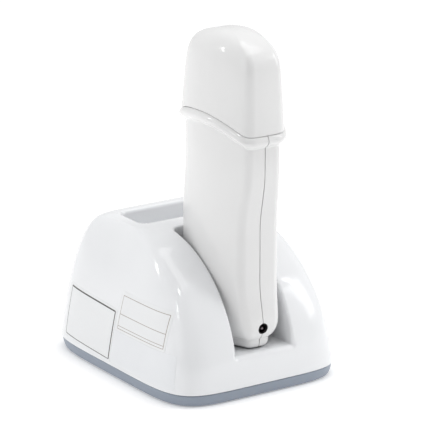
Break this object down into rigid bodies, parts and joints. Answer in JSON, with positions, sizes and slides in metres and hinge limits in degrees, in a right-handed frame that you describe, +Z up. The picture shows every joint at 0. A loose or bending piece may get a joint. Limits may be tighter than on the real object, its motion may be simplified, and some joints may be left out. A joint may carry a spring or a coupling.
{
  "type": "roll-on wax heater with charging base",
  "caption": "Hand-held heater for a roll-on wax cartridge, with a cap, standing in the open slot of a domed charging base with a well for small tools",
  "frame": {"origin": "on the table, under the middle of the base's outline", "axes": "+Z up; -Y is the open end of the slot and the front of the handset; X = 0 is the plane of the handset's seam and the dome's symmetry"},
  "size_m": [0.111, 0.1395, 0.1954],
  "materials": {
    "cover_white": "gloss",
    "grip_white": "gloss",
    "tray_grey": "satin",
    "foot_rubber": "matte",
    "steel": "satin",
    "contact_gold": "polished",
    "spring_steel": "bright",
    "inner_ivory": "matte",
    "board_green": "solder mask",
    "lead_brown": "insulation",
    "lead_red": "insulation",
    "black_plastic": "satin",
    "lamp_amber": "translucent",
    "window_clear": "clear",
    "plate_grey": "satin",
    "aluminium": "satin",
    "heater_ceramic": "matte",
    "insulator_film": "film",
    "bottle_natural": "translucent",
    "roller_plastic": "satin"
  },
  "bodies": {
    "base": {"base_cover": "cover_white", "base_tray": "tray_grey", "rubber_feet": "foot_rubber", "base_screws": "steel", "contact_block": "inner_ivory", "contact_spring_left": "spring_steel", "contact_spring_right": "spring_steel", "base_board": "board_green", "board_screws": "steel", "base_leads": "lead_brown", "power_inlet": "black_plastic", "inlet_pins": "steel", "indicator_lens": "lamp_amber"},
    "pin_left": {"contact_pin_left": "contact_gold"},
    "pin_right": {"contact_pin_right": "contact_gold"},
    "handset": {"handset_left": "grip_white", "handset_right": "grip_white", "window_lens": "window_clear", "handset_screws": "steel", "contact_plate": "plate_grey", "contact_pads": "contact_gold", "power_jack": "black_plastic", "jack_pin": "steel", "handset_board": "board_green", "cartridge_seat": "inner_ivory", "heating_sleeve": "aluminium", "heater_plate": "heater_ceramic", "insulator_sheet": "insulator_film", "thermostat": "black_plastic", "handset_leads": "lead_red"},
    "cartridge": {"cartridge_bottle": "bottle_natural", "roller_head": "roller_plastic", "roller_axle": "steel"},
    "cap": {"cap": "grip_white"},
    "roller": {"roller": "roller_plastic"}
  },
  "joints": [
    {"name": "handset_lift", "type": "slide", "parent": "base", "child": "handset", "axis": [0, 0, 1], "range_m": [0, 0.09]},
    {"name": "cartridge_pull", "type": "slide", "parent": "handset", "child": "cartridge", "axis": [0, 0, 1], "range_m": [0, 0.1]},
    {"name": "cap_pull", "type": "slide", "parent": "cartridge", "child": "cap", "axis": [0, 0, 1], "range_m": [0, 0.06]},
    {"name": "roller_spin", "type": "hinge", "parent": "cartridge", "child": "roller", "pos_m": [0, -0.0347, 0.168], "axis": [0, 1, 0], "continuous": true},
    {"name": "contact_left", "type": "slide", "parent": "base", "child": "pin_left", "axis": [0, 0, 1], "range_m": [-0.0015, 0], "stiffness_N_per_m": 300, "springref_m": 0.002, "deforming": ["contact_spring_left"]},
    {"name": "contact_right", "type": "slide", "parent": "base", "child": "pin_right", "axis": [0, 0, 1], "range_m": [-0.0015, 0], "stiffness_N_per_m": 300, "springref_m": 0.002, "deforming": ["contact_spring_right"]}
  ]
}
